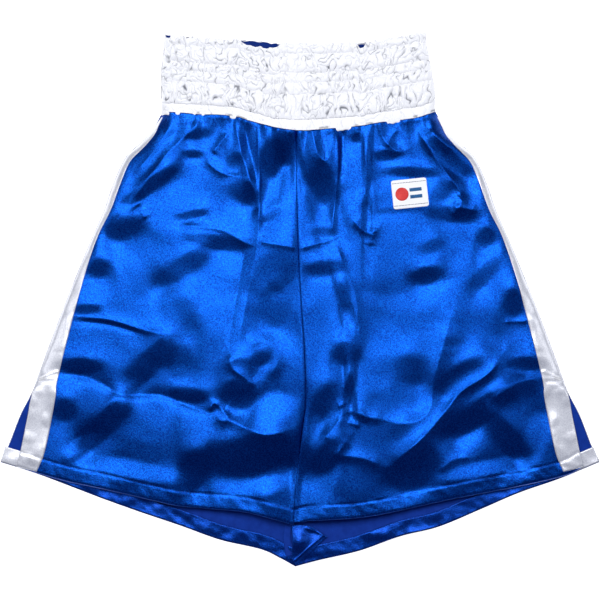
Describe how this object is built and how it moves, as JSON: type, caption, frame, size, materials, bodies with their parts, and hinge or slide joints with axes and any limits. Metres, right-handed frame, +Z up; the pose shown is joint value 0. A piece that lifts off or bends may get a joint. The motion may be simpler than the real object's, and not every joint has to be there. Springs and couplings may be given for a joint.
{
  "type": "boxing shorts",
  "caption": "Satin boxing shorts laid flat: gathered elastic waistband, two wide legs with side stripes, side vents with fold-back front corners, and a blank woven label.",
  "frame": {"origin": "under the middle of the shorts' box, on the surface that they lie on", "axes": "+Z up and out of the front of the shorts, +Y from the hems towards the waist, +X towards the wearer's left leg"},
  "size_m": [0.636, 0.5659, 0.024],
  "materials": {
    "blue_satin": "polyester satin, glossy face out, matte back inside",
    "stripe_satin": "white polyester satin tape",
    "band_satin": "white polyester satin, gathered by the elastics",
    "lining_cloth": "blue lining cloth, matte",
    "elastic": "knitted white elastic",
    "white_thread": "white polyester sewing thread",
    "blue_thread": "blue polyester sewing thread",
    "label_cloth": "woven damask label, white",
    "emblem_blue": "woven in blue thread",
    "emblem_red": "woven in red thread"
  },
  "bodies": {
    "root": {"back_hem_left": "blue_satin", "back_hem_right": "blue_satin", "back_hem_stitching": "blue_thread", "back_panel_left": "blue_satin", "back_panel_right": "blue_satin", "back_rise_seam": "blue_satin", "back_stripe_left": "stripe_satin", "back_stripe_right": "stripe_satin", "front_hem_left": "blue_satin", "front_hem_right": "blue_satin", "front_hem_stitching": "blue_thread", "front_panel_left": "blue_satin", "front_panel_right": "blue_satin", "front_rise_seam": "blue_satin", "front_stripe_left": "stripe_satin", "front_stripe_right": "stripe_satin", "inseam_left": "blue_satin", "inseam_right": "blue_satin", "label_emblem_bars": "emblem_blue", "label_emblem_disc": "emblem_red", "label_patch": "label_cloth", "label_stitching": "white_thread", "side_seam_left": "blue_satin", "side_seam_right": "blue_satin", "vent_bartack_left": "white_thread", "vent_bartack_right": "white_thread", "waist_elastic_1": "elastic", "waist_elastic_2": "elastic", "waist_elastic_3": "elastic", "waist_elastic_4": "elastic", "waistband_back_lining": "lining_cloth", "waistband_back_shell": "band_satin", "waistband_back_stitching": "white_thread", "waistband_front_lining": "lining_cloth", "waistband_front_shell": "band_satin", "waistband_front_stitching": "white_thread", "waistband_side_left": "band_satin", "waistband_side_right": "band_satin"},
    "right_vent_corner": {"front_vent_corner_right": "blue_satin", "front_stripe_tail_right": "stripe_satin", "front_corner_hem_right": "blue_satin", "corner_hem_stitching_right": "blue_thread"},
    "left_vent_corner": {"front_vent_corner_left": "blue_satin", "front_stripe_tail_left": "stripe_satin", "front_corner_hem_left": "blue_satin", "corner_hem_stitching_left": "blue_thread"}
  },
  "joints": [
    {"name": "right_vent_fold", "type": "hinge", "parent": "root", "child": "right_vent_corner", "pos_m": [-0.12, -0.2139, 0.01575], "axis": [-0.7853, 0.6179, -0.0393], "range_deg": [0, 150]},
    {"name": "left_vent_fold", "type": "hinge", "parent": "root", "child": "left_vent_corner", "pos_m": [0.12, -0.2139, 0.01575], "axis": [-0.7853, -0.6179, 0.0393], "range_deg": [0, 150]}
  ]
}
